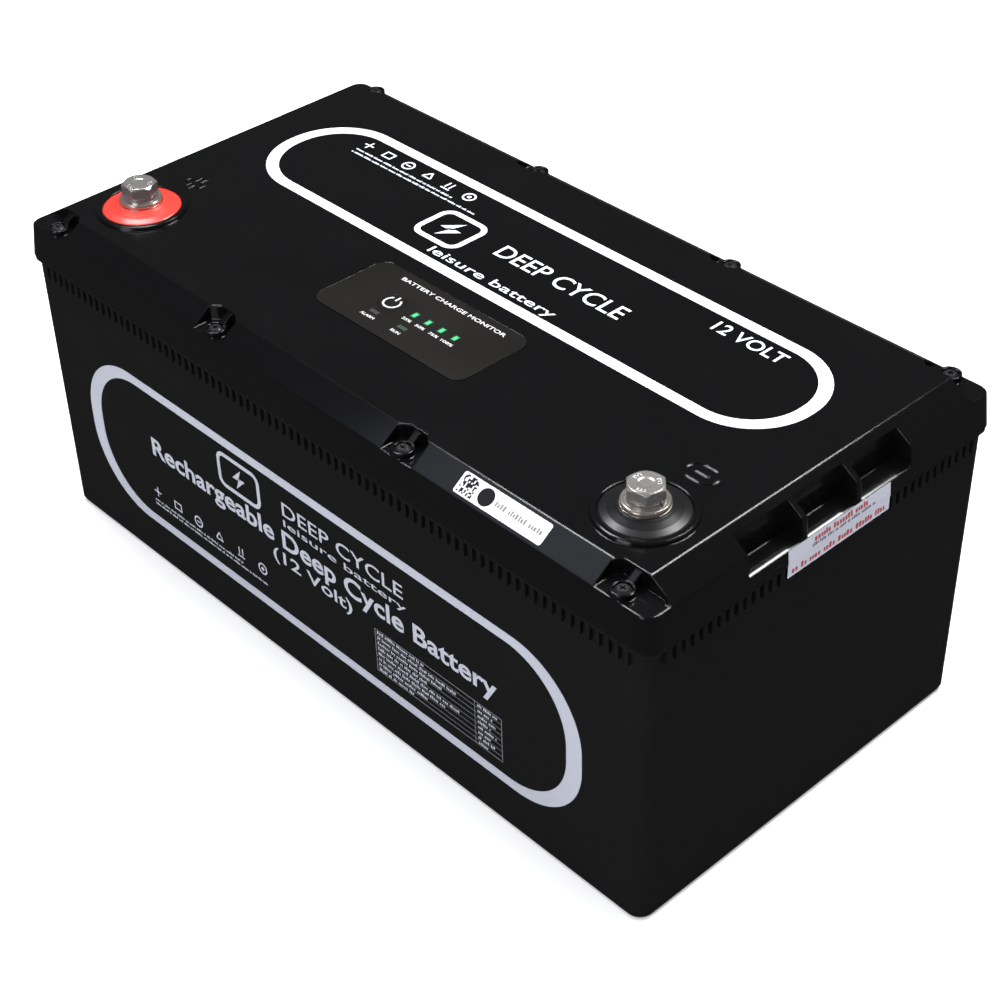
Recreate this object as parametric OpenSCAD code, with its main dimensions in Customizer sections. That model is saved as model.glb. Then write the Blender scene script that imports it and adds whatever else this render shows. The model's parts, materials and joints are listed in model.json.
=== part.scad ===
// Deep cycle battery in a rectangular moulded case.
// +X is the long axis, -Y the labelled long face, +Z up, origin at the bottom centre.

/* [Case] */
// overall length at the lid lip (mm)
case_l = 522; // [480:1:560]
// overall width at the lid lip (mm)
case_w = 269; // [240:1:300]
// height of the flat lid top (mm)
case_h = 220; // [200:1:240]
// height of the joint between container and lid (mm)
joint_z = 189; // [175:0.5:195]
// wall thickness of the mouldings (mm)
wall_t = 4; // [3:0.5:6]
// vertical corner radius (mm)
corner_r = 8.5; // [5:0.5:15]
// how far the container wall stands in from the lip at the top (mm)
inset_top = 2.4; // [1:0.1:4]
// how far the container wall stands in from the lip at the bottom (mm)
inset_bottom = 4; // [2:0.1:6]

/* [Lid] */
// height where the lid skirt turns into the bevel (mm)
skirt_z = 210.5; // [205:0.5:214]
// run of the bevel on the short ends (mm)
bevel_x = 15.5; // [8:0.5:24]
// run of the bevel on the long sides (mm)
bevel_y = 14; // [8:0.5:24]
// length of the hand grip recess in each end (mm)
grip_l = 126; // [90:1:160]
// height of the grip recess floor (mm)
grip_z = 198; // [192:0.5:204]
// depth position of the grip recess back wall, from the centre (mm)
grip_x = 248.6; // [240:0.2:254]

/* [Rim ribs] */
// pitch of the rim ribs on the long sides (mm)
rib_pitch_x = 6.367; // [5:0.001:9]
// pitch of the rim ribs on the short ends (mm)
rib_pitch_y = 6.27; // [5:0.001:9]
// height of the rim ribs (mm)
rib_h = 11; // [6:0.5:16]
// width of one rim rib (mm)
rib_t = 3; // [2:0.1:4]

/* [Terminals] */
// terminal distance from the centre along the length (mm)
term_x = 209; // [190:0.5:225]
// terminal distance from the centre across the width (mm)
term_y = 82.3; // [60:0.5:100]
// height of the terminal seat under the washers (mm)
seat_z = 226; // [223:0.1:228]
// radius of the moulded ring round a terminal (mm)
ring_r = 27.5; // [22:0.5:32]
// radius of the coloured terminal disc (mm)
disc_r = 23.8; // [18:0.1:28]
// nominal radius of the terminal bolt (mm)
bolt_r = 6; // [4:0.5:6]
// width across the flats of the bolt head (mm)
head_flats = 19; // [13:0.5:19]
// bolt length under the head (mm)
bolt_l = 25; // [16:1:40]

/* [Cells] */
// thickness of one cell (mm)
cell_t = 72; // [54:0.5:80]
// width of one cell, standing upright (mm)
cell_h = 174; // [150:1:180]
// depth of one cell to its terminal face (mm)
cell_d = 200; // [160:1:210]

/* [Output] */
// sub-part to draw

/* [Hidden] */
hx = case_l / 2;
hy = case_w / 2;
draft_run = inset_bottom - inset_top;
draft = atan(draft_run / (joint_z - 5.7));
skirt_lean = atan(1.9 / (skirt_z - joint_z - 1.2));
washer_t = 2.5;
washer_r = 12.8;
spring_t = 3;
spring_r = 10.5;
head_z = seat_z + washer_t + spring_t;
head_h = 6.6;
head_r = head_flats / 2 / cos(30);
screw_xs = [-236, -79.5, 79.5, 236];
rib_z = joint_z - 2 - rib_h + 1.5;
boss_y = hy - 8.5;
boss_top = 214;
disp_x = 2.25;
disp_y = -45.5;
disp_l = 122.5;
disp_w = 56;
button_x = -21;
button_y = -45.5;
cells_x0 = -238;
cell_pitch = cell_t + 1;
cell_z0 = 7;
cell_y0 = -104;
cell_face = cell_y0 + cell_d;
cable_r = 4;
cable_z = 187;
cable_y = 104;
board_cable_x = 91.5;

// ---------- shared shapes ----------

// flat rounded rectangle centred on the origin
module rrect(l, w, r) {
  square([l - 2 * r, w], center = true);
  square([l, w - 2 * r], center = true);
  for (sx = [-1, 1]) {
    for (sy = [-1, 1]) {
      translate([sx * (l / 2 - r), sy * (w / 2 - r)]) circle(r = r, $fn = 48);
    }
  }
}

// thin rounded slab used as one level of a drafted moulding
module level(z, inset_x, inset_y, r) {
  translate([0, 0, z])
    linear_extrude(0.01)
      hull() {
        for (sx = [-1, 1]) {
          for (sy = [-1, 1]) {
            translate([sx * (hx - inset_x - r), sy * (hy - inset_y - r)]) circle(r = r, $fn = 32);
          }
        }
      }
}

module box_at(x0, x1, y0, y1, z0, z1) {
  translate([x0, y0, z0]) cube([x1 - x0, y1 - y0, z1 - z0]);
}

module at_terminal(side) {
  translate([side * term_x, -term_y, 0]) children();
}

// ---------- container ----------

// lower body with rounded foot and slightly drafted walls
module container_shell() {
  hull() {
    level(0, inset_bottom + 3, inset_bottom + 3, corner_r - 2);
    level(1, inset_bottom + 1, inset_bottom + 1, corner_r);
    level(3.5, inset_bottom, inset_bottom, corner_r);
    level(joint_z - 2.2, inset_top, inset_top, corner_r);
  }
}

// row of small gussets that carry the rim
module rim_ribs() {
  for (k = [0 : 77]) {
    for (sy = [-1, 1]) {
      translate([-243.9 + rib_pitch_x * k - rib_t / 2, sy * (hy - 2.3) - 2.1, rib_z])
        cube([rib_t, 4.2, rib_h]);
    }
  }
  for (k = [0 : 38]) {
    for (sx = [-1, 1]) {
      translate([sx * (hx - 2.3) - 2.1, -119.1 + rib_pitch_y * k - rib_t / 2, rib_z])
        cube([4.2, rib_t, rib_h]);
    }
  }
}

module container() {
  color([0.03, 0.03, 0.033])
    difference() {
      union() {
        container_shell();
        rim_ribs();
        // flat rim the lid sits on
        translate([0, 0, joint_z - 2.2]) linear_extrude(2.2) rrect(case_l - 0.8, case_w - 0.8, corner_r);
      }
      // inner space
      translate([0, 0, wall_t])
        linear_extrude(joint_z)
          difference() {
            rrect(case_l - 18, case_w - 17, 6);
            for (x = screw_xs) {
              for (sy = [-1, 1]) {
                translate([x, sy * boss_y]) circle(r = 6, $fn = 32);
                translate([x - 6, sy * (hy - 4) - 4.5]) square([12, 9]);
              }
            }
          }
      // gasket groove
      translate([0, 0, joint_z - 1.6])
        linear_extrude(3)
          difference() {
            rrect(case_l - 6.6, case_w - 6.6, 6);
            rrect(case_l - 11.4, case_w - 11.4, 4);
          }
      // pilot holes for the lid screws
      for (x = screw_xs) {
        for (sy = [-1, 1]) {
          translate([x, sy * boss_y, joint_z - 24]) cylinder(r = 1.8, h = 30, $fn = 32);
        }
      }
    }
}

module lid_gasket() {
  color([0.12, 0.12, 0.12])
    translate([0, 0, joint_z - 1.6])
      linear_extrude(1.6)
        difference() {
          rrect(case_l - 6.8, case_w - 6.8, 6);
          rrect(case_l - 11.2, case_w - 11.2, 4);
        }
}

// ---------- lid ----------

module lid_outer() {
  hull() {
    level(joint_z, 0.3, 0.3, corner_r);
    level(joint_z + 0.6, 0, 0, corner_r);
    level(skirt_z - 0.6, 1.9, 1.9, corner_r - 1);
    level(skirt_z, 2.4, 2.4, corner_r - 1);
    level(case_h - 0.5, bevel_x + 1.4, bevel_y + 1.4, 4);
    level(case_h - 0.01, bevel_x + 2, bevel_y + 2, 3.5);
  }
}

// screw pocket cut in the bevel on a long side, at x
module mid_pocket(x, sy) {
  translate([x, 0, skirt_z])
    linear_extrude(20)
      polygon([[-12, sy * (hy + 5)], [12, sy * (hy + 5)], [12, sy * 119.5], [6.2, sy * 115.2],
        [-6.2, sy * 115.2], [-12, sy * 119.5]]);
}

// screw pocket cut off a corner of the raised top
module end_pocket(sx, sy) {
  translate([0, 0, skirt_z])
    linear_extrude(20)
      polygon([[sx * 222.5, sy * (hy + 5)], [sx * (hx + 5), sy * (hy + 5)], [sx * (hx + 5), sy * 117.2],
        [sx * 257, sy * 117.2], [sx * 253, sy * 115.2], [sx * 227, sy * 115.2], [sx * 222.5, sy * 119.5]]);
}

// grip recess with two ribs left standing, its floor rolling over at the outer lip
module grip_cut(sx) {
  difference() {
    rotate([90, 0, 0])
      linear_extrude(grip_l, center = true)
        polygon([[sx * grip_x, grip_z + 30], [sx * grip_x, grip_z], [sx * (hx - 6.5), grip_z],
          [sx * (hx - 4), grip_z - 0.2], [sx * (hx - 2.2), grip_z - 0.55], [sx * (hx - 0.7), grip_z - 1],
          [sx * (hx + 6), grip_z - 2.6], [sx * (hx + 6), grip_z + 30]]);
    for (y = [-21, 21]) {
      translate([sx * (grip_x + 10), y, grip_z + 10]) cube([24, 3.4, 42], center = true);
    }
  }
}

// web from a screw boss back to the wall of its pocket, sloping up from the boss
module pocket_web(x, sy) {
  translate([x - 2.2, 0, 0])
    rotate([90, 0, 90])
      linear_extrude(4.4)
        polygon([[sy * boss_y, skirt_z - 1], [sy * boss_y, boss_top - 0.4], [sy * 121, boss_top + 0.6],
          [sy * 115, case_h - 1.2], [sy * 112, case_h - 1.2], [sy * 112, skirt_z - 1]]);
}

module lid() {
  color([0.035, 0.035, 0.038])
    difference() {
      union() {
        difference() {
          lid_outer();
          for (sy = [-1, 1]) {
            mid_pocket(-79.5 - 0.9, sy);
            mid_pocket(79.5 + 0.9, sy);
            for (sx = [-1, 1]) {
              end_pocket(sx, sy);
            }
          }
          grip_cut(1);
          grip_cut(-1);
          // under side: shallow all over, deeper in the middle, stepped round grips and pockets
          box_at(-243.6, 243.6, -108, 108, joint_z - 1, case_h - 3.5);
          box_at(-256, 256, 68, 126.5 - 19, joint_z - 1, 206.5);
          box_at(-256, 256, -126.5 + 19, -68, joint_z - 1, 206.5);
          box_at(-226, -90, -127, 127, joint_z - 1, 206.5);
          box_at(-69, 69, -127, 127, joint_z - 1, 206.5);
          box_at(90, 226, -127, 127, joint_z - 1, 206.5);
        }
        // screw bosses, each tied to its pocket wall by a sloping web
        for (x = screw_xs) {
          for (sy = [-1, 1]) {
            translate([x, sy * boss_y, joint_z]) cylinder(r = 6.3, h = boss_top - joint_z, $fn = 48);
            pocket_web(x, sy);
          }
        }
        // raised rings and sleeves round the terminals
        for (s = [-1, 1]) {
          at_terminal(s) {
            translate([0, 0, case_h - 4]) cylinder(r = ring_r, h = 5.2, $fn = 96);
            translate([0, 0, case_h + 1.2]) cylinder(r1 = ring_r, r2 = ring_r - 1, h = 0.9, $fn = 96);
            translate([0, 0, 194]) cylinder(r = 19, h = 24, $fn = 64);
          }
        }
        // stand-offs and pins that carry the display board
        for (x = [-44, 50]) {
          for (y = [-66, -28]) {
            translate([x, y, case_h - 5.65]) cylinder(r = 3.2, h = 3, $fn = 32);
            translate([x, y, case_h - 8.6]) cylinder(r = 1.5, h = 4, $fn = 32);
          }
        }
        // moulded polarity marks
        translate([-211, -41, case_h - 0.1]) linear_extrude(0.5) plus_outline();
        translate([208, -40, case_h - 0.1]) linear_extrude(0.5) minus_outline();
      }
      // terminal disc pockets and insert bores
      for (s = [-1, 1]) {
        at_terminal(s) {
          translate([0, 0, case_h - 1.5]) cylinder(r = disc_r + 0.15, h = 9, $fn = 96);
          translate([0, 0, 190]) cylinder(r = 13.1, h = 40, $fn = 64);
        }
      }
      // screw clearance holes
      for (x = screw_xs) {
        for (sy = [-1, 1]) {
          translate([x, sy * boss_y, joint_z - 1]) cylinder(r = 2.4, h = 40, $fn = 32);
          translate([x, sy * boss_y, 211.6]) cylinder(r = 4.6, h = 6, $fn = 48);
        }
      }
      // display seat, window and button hole
      translate([disp_x, disp_y, case_h - 0.6]) linear_extrude(2) rrect(disp_l + 0.3, disp_w + 0.3, 8.1);
      box_at(-34, 41, -64, -33, case_h - 6, case_h + 1);
    }
}

module plus_outline() {
  difference() {
    union() {
      square([15, 5], center = true);
      square([5, 15], center = true);
    }
    square([13, 3], center = true);
    square([3, 13], center = true);
  }
}

module minus_outline() {
  difference() {
    rrect(20, 14, 6.9);
    rrect(18.4, 12.4, 6.1);
  }
  rrect(9, 1.4, 0.6);
}

// eight cross recess pan head screws
module lid_screws() {
  color([0.06, 0.06, 0.065])
    for (x = screw_xs) {
      for (sy = [-1, 1]) {
        translate([x, sy * boss_y, 0])
          difference() {
            union() {
              translate([0, 0, 211.6]) cylinder(r = 4.25, h = 1.6, $fn = 48);
              translate([0, 0, 213.2]) cylinder(r1 = 4.25, r2 = 2.8, h = 1.1, $fn = 48);
              translate([0, 0, joint_z - 22]) cylinder(r = 1.75, h = 46, $fn = 32);
            }
            translate([0, 0, 214]) cube([4, 0.9, 3], center = true);
            translate([0, 0, 214]) cube([0.9, 4, 3], center = true);
          }
      }
    }
}

// ---------- terminals ----------

module terminal_disc(side) {
  at_terminal(side)
    difference() {
      union() {
        translate([0, 0, case_h - 1.5]) cylinder(r = disc_r, h = 2.6, $fn = 96);
        translate([0, 0, case_h + 1.1]) cylinder(r1 = disc_r, r2 = disc_r - 1.2, h = 0.8, $fn = 96);
        translate([0, 0, case_h + 1.9]) cylinder(r1 = disc_r - 1.2, r2 = 19, h = 1.2, $fn = 96);
        translate([0, 0, case_h + 3.1]) cylinder(r1 = 19, r2 = 15.5, h = 1.7, $fn = 96);
        translate([0, 0, case_h + 4.8]) cylinder(r1 = 15.5, r2 = 13.9, h = 0.9, $fn = 96);
      }
      translate([0, 0, case_h - 3]) cylinder(r = 13.1, h = 12, $fn = 64);
    }
}

module positive_terminal_disc() {
  color([0.85, 0.09, 0.07]) terminal_disc(-1);
}

module negative_terminal_disc() {
  color([0.04, 0.04, 0.042]) terminal_disc(1);
}

// plated threaded insert with a collar below for the cable lug
module terminal_insert(side) {
  at_terminal(side)
    difference() {
      union() {
        translate([0, 0, 196]) cylinder(r = 13, h = seat_z - 196, $fn = 64);
        translate([0, 0, 190]) cylinder(r = 10, h = 6, $fn = 6);
      }
      translate([0, 0, 202.5]) cylinder(r = bolt_r + 0.05, h = 40, $fn = 64);
      translate([0, 0, 189]) cylinder(r = 4.05, h = 10, $fn = 48);
    }
}

module positive_terminal_insert() {
  color([0.78, 0.62, 0.32]) terminal_insert(-1);
}

module negative_terminal_insert() {
  color([0.78, 0.62, 0.32]) terminal_insert(1);
}

module flat_washer(side) {
  at_terminal(side)
    difference() {
      union() {
        translate([0, 0, seat_z + 0.02]) cylinder(r = washer_r, h = washer_t - 0.6, $fn = 64);
        translate([0, 0, seat_z + washer_t - 0.6])
          cylinder(r1 = washer_r, r2 = washer_r - 0.7, h = 0.6, $fn = 64);
      }
      translate([0, 0, seat_z - 1]) cylinder(r = bolt_r + 0.35, h = 6, $fn = 64);
    }
}

module positive_flat_washer() {
  color([0.72, 0.72, 0.72]) flat_washer(-1);
}

module negative_flat_washer() {
  color([0.72, 0.72, 0.72]) flat_washer(1);
}

// split spring washer with a slanted gap
module spring_washer(side) {
  at_terminal(side)
    difference() {
      translate([0, 0, seat_z + washer_t]) cylinder(r = spring_r, h = spring_t, $fn = 64);
      translate([0, 0, seat_z]) cylinder(r = bolt_r + 0.3, h = 8, $fn = 64);
      rotate([0, 0, side * 60 - 60])
        translate([8.5, 0, seat_z + washer_t + spring_t / 2])
          rotate([25, 0, 0]) cube([8, 1, 8], center = true);
    }
}

module positive_spring_washer() {
  color([0.66, 0.66, 0.67]) spring_washer(-1);
}

module negative_spring_washer() {
  color([0.66, 0.66, 0.67]) spring_washer(1);
}

// hexagon head bolt with chamfered head corners and a shallow dish in the head
module terminal_bolt(side, turn) {
  at_terminal(side) {
    translate([0, 0, head_z - bolt_l]) cylinder(r = bolt_r, h = bolt_l + 0.1, $fn = 64);
    difference() {
      rotate([0, 0, turn])
        intersection() {
          translate([0, 0, head_z + 0.02]) cylinder(r = head_r, h = head_h - 0.02, $fn = 6);
          union() {
            translate([0, 0, head_z]) cylinder(r = head_r + 0.1, h = head_h - 1.3, $fn = 64);
            translate([0, 0, head_z + head_h - 1.3])
              cylinder(r1 = head_r + 0.1, r2 = head_flats / 2 - 0.5, h = 1.3, $fn = 64);
          }
        }
      translate([0, 0, head_z + head_h - 0.35]) cylinder(r1 = 3.6, r2 = 4.6, h = 0.4, $fn = 64);
    }
  }
}

module positive_terminal_bolt() {
  color([0.75, 0.75, 0.74]) terminal_bolt(-1, -1);
}

module negative_terminal_bolt() {
  color([0.75, 0.75, 0.74]) terminal_bolt(1, 15);
}

// ---------- display ----------

module display_overlay() {
  color([0.1, 0.095, 0.09])
    difference() {
      translate([disp_x, disp_y, case_h - 0.6]) linear_extrude(0.9) rrect(disp_l, disp_w, 8);
      translate([button_x, button_y, case_h - 2]) cylinder(r = 8.3, h = 5, $fn = 64);
      for (x = [-2, 9, 20, 31]) {
        translate([x, -45, case_h]) cube([3.8, 5.4, 5], center = true);
      }
      translate([-21, -58.5, case_h]) cube([6.8, 2.8, 5], center = true);
      translate([2.5, -58.5, case_h]) cube([6.8, 2.8, 5], center = true);
    }
}

module charge_level_lights() {
  color([0.2, 0.9, 0.5])
    for (x = [-2, 9, 20, 31]) {
      translate([x, -45, case_h - 2.7]) cube([3.7, 5.3, 6], center = true);
    }
}

module alarm_light() {
  color([0.45, 0.44, 0.42]) translate([-21, -58.5, case_h - 2.7]) cube([6.7, 2.7, 6], center = true);
}

module run_light() {
  color([0.25, 0.42, 0.3]) translate([2.5, -58.5, case_h - 2.7]) cube([6.7, 2.7, 6], center = true);
}

// membrane key with a short stem to the switch
module power_button() {
  color([0.1, 0.095, 0.09])
    translate([button_x, button_y, 0]) {
      translate([0, 0, case_h - 0.6]) cylinder(r = 8, h = 0.9, $fn = 64);
      translate([0, 0, case_h - 2.6]) cylinder(r = 1.5, h = 2.1, $fn = 32);
    }
}

module power_switch() {
  color([0.2, 0.2, 0.2])
    translate([button_x, button_y, 0]) {
      translate([-3, -3, case_h - 5.7]) cube([6, 6, 1.8]);
      translate([0, 0, case_h - 4]) cylinder(r = 1.6, h = 0.7, $fn = 32);
    }
}

module display_board() {
  color([0.05, 0.25, 0.12]) {
    difference() {
      box_at(-50, 56, -70, -24, case_h - 7.3, case_h - 5.7);
      for (x = [-44, 50]) {
        for (y = [-66, -28]) {
          translate([x, y, case_h - 9]) cylinder(r = 1.6, h = 5, $fn = 32);
        }
      }
    }
    box_at(36, 48, -36, -28, case_h - 11.5, case_h - 7.3);
  }
}

// ---------- printed marks and stickers ----------

// closed white outline printed on the lid top
module top_print() {
  color([0.9, 0.91, 0.96])
    translate([0, 38.5, case_h])
      linear_extrude(0.15)
        difference() {
          rrect(428, 87, 42);
          rrect(411.5, 72.6, 35);
        }
}

// closed pale outline printed on the long front face
module front_print() {
  color([0.8, 0.82, 0.88])
    translate([0, -hy + inset_top, joint_z - 2.2])
      rotate([90 + draft, 0, 0])
        translate([-2.5, 87 - joint_z + 2.2, 0.02])
          linear_extrude(0.18)
            difference() {
              rrect(434.4, 110.6, 50);
              rrect(412, 98, 44);
            }
}

// small white code sticker on the front bevel
module code_label() {
  color([0.93, 0.93, 0.94])
    translate([153.2, -(hy - 2.4 - bevel_y / 2 + 0.2), (skirt_z + case_h) / 2])
      rotate([bevel_tilt(), 0, 0])
        translate([0, 0, 0.1]) linear_extrude(0.12) rrect(62.5, 12.5, 1.5);
}

// slope of the long side bevel
function bevel_tilt() = atan((case_h - 0.5 - skirt_z) / (bevel_y - 1));

// tamper sticker bridging the lid lip and the rim on the right end
module seal_sticker() {
  color([0.82, 0.82, 0.88]) {
    translate([hx, 6, joint_z + 0.6])
      rotate([0, -skirt_lean, 0])
        translate([0.02, -40, 0.05]) cube([0.15, 80, 7.4]);
    box_at(hx - 0.19, hx - 0.04, -34, 46, joint_z - 9, joint_z - 0.5);
    box_at(hx - 0.19, hx + 0.17, -34, 46, joint_z - 0.65, joint_z - 0.5);
    box_at(hx + 0.02, hx + 0.17, -34, 46, joint_z - 0.65, joint_z + 0.9);
  }
}

// ---------- cell pack ----------

// one prismatic cell on its narrow side, terminals towards the back
module cell(k) {
  x0 = cells_x0 + k * cell_pitch;
  color([0.12, 0.25, 0.55])
    translate([x0, cell_y0, cell_z0]) {
      difference() {
        cube([cell_t, cell_d, cell_h]);
        // vent in the terminal face
        translate([cell_t / 2, cell_d - 0.6, cell_h / 2])
          rotate([-90, 0, 0]) cylinder(r = 8, h = 2, $fn = 48);
      }
      for (z = [24, cell_h - 24]) {
        translate([cell_t / 2, cell_d - 0.1, z]) rotate([-90, 0, 0]) cylinder(r = 9, h = 3.1, $fn = 48);
        translate([cell_t / 2, cell_d, z]) rotate([-90, 0, 0]) cylinder(r = 3, h = 13, $fn = 32);
      }
    }
}

module cell_1() {
  cell(0);
}

module cell_2() {
  cell(1);
}

module cell_3() {
  cell(2);
}

module cell_4() {
  cell(3);
}

// insulating sheets between the cells
module cell_spacers() {
  color([0.85, 0.8, 0.6])
    for (k = [1, 2, 3]) {
      translate([cells_x0 + k * cell_pitch - 1, cell_y0, cell_z0]) cube([1, cell_d, cell_h]);
    }
}

module left_end_plate() {
  color([0.62, 0.63, 0.65]) box_at(cells_x0 - 4, cells_x0, cell_y0, cell_face, cell_z0, cell_z0 + cell_h);
}

module right_end_plate() {
  color([0.62, 0.63, 0.65])
    translate([cells_x0 + 4 * cell_pitch - 1, 0, 0])
      box_at(0, 4, cell_y0, cell_face, cell_z0, cell_z0 + cell_h);
}

// two steel bands round the stack
module pack_straps() {
  color([0.55, 0.56, 0.58])
    for (y = [-35, 55]) {
      difference() {
        box_at(cells_x0 - 5, cells_x0 + 4 * cell_pitch + 4, y - 8, y + 8,
          cell_z0 - 1, cell_z0 + cell_h + 1);
        box_at(cells_x0 - 4, cells_x0 + 4 * cell_pitch + 3, y - 9, y + 9, cell_z0, cell_z0 + cell_h);
      }
    }
}

// height of terminal row n: 0 is low, 1 is high
function post_z(n) = cell_z0 + (n == 0 ? 24 : cell_h - 24);
function post_x(k) = cells_x0 + k * cell_pitch + cell_t / 2;

// bars linking neighbouring cells in series
module cell_busbars() {
  color([0.75, 0.45, 0.28])
    for (k = [0, 1, 2]) {
      n = k % 2;
      difference() {
        box_at(post_x(k) - 11, post_x(k + 1) + 11, cell_face + 3, cell_face + 5.5,
          post_z(n) - 10, post_z(n) + 10);
        for (j = [k, k + 1]) {
          translate([post_x(j), cell_face, post_z(n)])
            rotate([-90, 0, 0]) cylinder(r = 3.05, h = 9, $fn = 32);
        }
      }
    }
}

// flanged nuts on all the cell posts
module busbar_nuts() {
  color([0.7, 0.7, 0.72])
    for (k = [0 : 3]) {
      for (n = [0, 1]) {
        translate([post_x(k), cell_face + 5.5, post_z(n)])
          rotate([-90, 0, 0])
            difference() {
              union() {
                cylinder(r = 6.5, h = 1.2, $fn = 48);
                cylinder(r = 5.77, h = 5.5, $fn = 6);
              }
              translate([0, 0, -1]) cylinder(r = 3.05, h = 9, $fn = 32);
            }
      }
    }
}

// ---------- electronics ----------

// flat aluminium sheet that carries and cools the board
module board_heat_sink() {
  color([0.7, 0.71, 0.73]) {
    box_at(68, 72, -100, 90, 20, 170);
    for (z = [30 : 12 : 162]) {
      box_at(63, 68.1, -96, 86, z, z + 2);
    }
    // feet and corner stand-offs for the board
    box_at(68, 92, -100, 90, wall_t, wall_t + 3);
    box_at(68, 72, -100, 90, wall_t + 2, 21);
    for (y = [-88, 78]) {
      for (z = [36, 154]) {
        translate([71.9, y, z]) rotate([0, 90, 0]) cylinder(r = 3, h = 6.1, $fn = 32);
      }
    }
  }
}

module battery_management_board() {
  color([0.05, 0.3, 0.15]) {
    box_at(78, 79.6, -95, 85, 28, 162);
    // rows of power transistors and the shunt bar
    for (y = [-80 : 16 : 64]) {
      box_at(79.5, 84, y, y + 10, 120, 130);
      box_at(79.5, 84, y, y + 10, 100, 110);
    }
    box_at(79.5, 83, -60, -20, 40, 52);
    box_at(79.5, 90, 20, 60, 36, 46);
    for (y = [-70, -50]) {
      translate([79.5, y, 75]) rotate([0, 90, 0]) cylinder(r = 6, h = 16, $fn = 48);
    }
    // power studs
    translate([79.5, -72, 145]) rotate([0, 90, 0]) cylinder(r = 8, h = 6, $fn = 48);
    translate([79.5, 66, 145]) rotate([0, 90, 0]) cylinder(r = 8, h = 6, $fn = 48);
    translate([79.5, -72, 145]) rotate([0, 90, 0]) cylinder(r = 3.9, h = 16, $fn = 32);
    translate([79.5, 66, 145]) rotate([0, 90, 0]) cylinder(r = 3.9, h = 16, $fn = 32);
  }
}

module wireless_module() {
  color([0.08, 0.2, 0.4])
    union() {
      box_at(100, 140, 20, 44, case_h - 5.1, case_h - 3.55);
      box_at(106, 124, 24, 40, case_h - 7.4, case_h - 5);
    }
}

module temperature_sensor() {
  color([0.1, 0.1, 0.1]) {
    run_x(post_x(1), post_x(1) + 8, -20, cell_z0 + cell_h + 2.7, 2.6);
    run_x(post_x(1) + 7.9, post_x(1) + 67.9, -20, cell_z0 + cell_h + 2.7, 1.1);
  }
}

// straight run of round cable between two points along one axis
module run_x(x0, x1, y, z, r) {
  translate([x0, y, z]) rotate([0, 90, 0]) cylinder(r = r, h = x1 - x0, $fn = 32);
}

module run_y(y0, y1, x, z, r) {
  translate([x, y0, z]) rotate([-90, 0, 0]) cylinder(r = r, h = y1 - y0, $fn = 32);
}

module run_z(z0, z1, x, y, r) {
  translate([x, y, z0]) cylinder(r = r, h = z1 - z0, $fn = 32);
}

module bend(x, y, z, r) {
  translate([x, y, z]) sphere(r = r, $fn = 32);
}

// heavy cable from the first cell up and over to the positive terminal
module positive_cable() {
  color([0.7, 0.08, 0.06]) {
    run_y(-70, cable_y, -term_x, cable_z, cable_r);
    bend(-term_x, cable_y, cable_z, cable_r);
    run_z(167, cable_z, -term_x, cable_y, cable_r);
  }
}

// heavy cable from the last cell to the management board
module negative_cell_cable() {
  color([0.04, 0.04, 0.045]) {
    run_z(167, cable_z, post_x(3) + 7, cable_y, cable_r);
    bend(post_x(3) + 7, cable_y, cable_z, cable_r);
    run_x(post_x(3) + 7, board_cable_x, cable_y, cable_z, cable_r);
    bend(board_cable_x, cable_y, cable_z, cable_r);
    run_y(78, cable_y, board_cable_x, cable_z, cable_r);
    bend(board_cable_x, 78, cable_z, cable_r);
    run_z(153, cable_z, board_cable_x, 78, cable_r);
  }
}

// heavy cable from the management board to the negative terminal
module negative_output_cable() {
  color([0.04, 0.04, 0.045]) {
    run_z(153, cable_z, board_cable_x, -term_y, cable_r);
    bend(board_cable_x, -term_y, cable_z, cable_r);
    run_x(board_cable_x, term_x - 12, -term_y, cable_z, cable_r);
  }
}

// eyelet lying flat under a terminal, barrel pointing along +X of its own frame
module terminal_lug() {
  difference() {
    union() {
      translate([0, 0, 188]) cylinder(r = 9.5, h = 2, $fn = 48);
      translate([0, -5, 188]) cube([22, 10, 2]);
      translate([11, 0, 187]) rotate([0, 90, 0]) cylinder(r = 5.2, h = 12, $fn = 48);
    }
    translate([0, 0, 186]) cylinder(r = 4.1, h = 6, $fn = 48);
    translate([11.9, 0, 187]) rotate([0, 90, 0]) cylinder(r = 4.05, h = 14, $fn = 48);
  }
}

// eyelet on a stud of the management board
module board_lug(y_stud, y_cable) {
  difference() {
    union() {
      box_at(85.5, 87.5, min(y_stud, y_cable) - 8, max(y_stud, y_cable) + 5, 137, 160);
      translate([91.5, y_cable, 151]) cylinder(r = 5.2, h = 11, $fn = 48);
      box_at(87, 89, y_cable - 4, y_cable + 4, 151, 160);
    }
    translate([80, y_stud, 145]) rotate([0, 90, 0]) cylinder(r = 4.1, h = 12, $fn = 32);
    translate([91.5, y_cable, 152.9]) cylinder(r = 4.05, h = 12, $fn = 48);
  }
}

// eyelet on a cell post
module cell_lug(k) {
  difference() {
    union() {
      box_at(post_x(k) - 12, post_x(k) + 12, cell_face + 3, cell_face + 5.5, post_z(1) - 10, 176);
      translate([post_x(k) + (k == 0 ? -7 : 7), 104, 166]) cylinder(r = 5.2, h = 11, $fn = 48);
    }
    translate([post_x(k), cell_face, post_z(1)]) rotate([-90, 0, 0]) cylinder(r = 3.05, h = 9, $fn = 32);
    translate([post_x(k) + (k == 0 ? -7 : 7), 104, 166.9]) cylinder(r = 4.05, h = 12, $fn = 48);
  }
}

// stamped eyelets on the cable ends
module cable_lugs() {
  color([0.72, 0.5, 0.35]) {
    at_terminal(-1) rotate([0, 0, 90]) terminal_lug();
    at_terminal(1) rotate([0, 0, 180]) terminal_lug();
    board_lug(-72, -term_y);
    board_lug(66, 78);
    cell_lug(0);
    cell_lug(3);
  }
}

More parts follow.
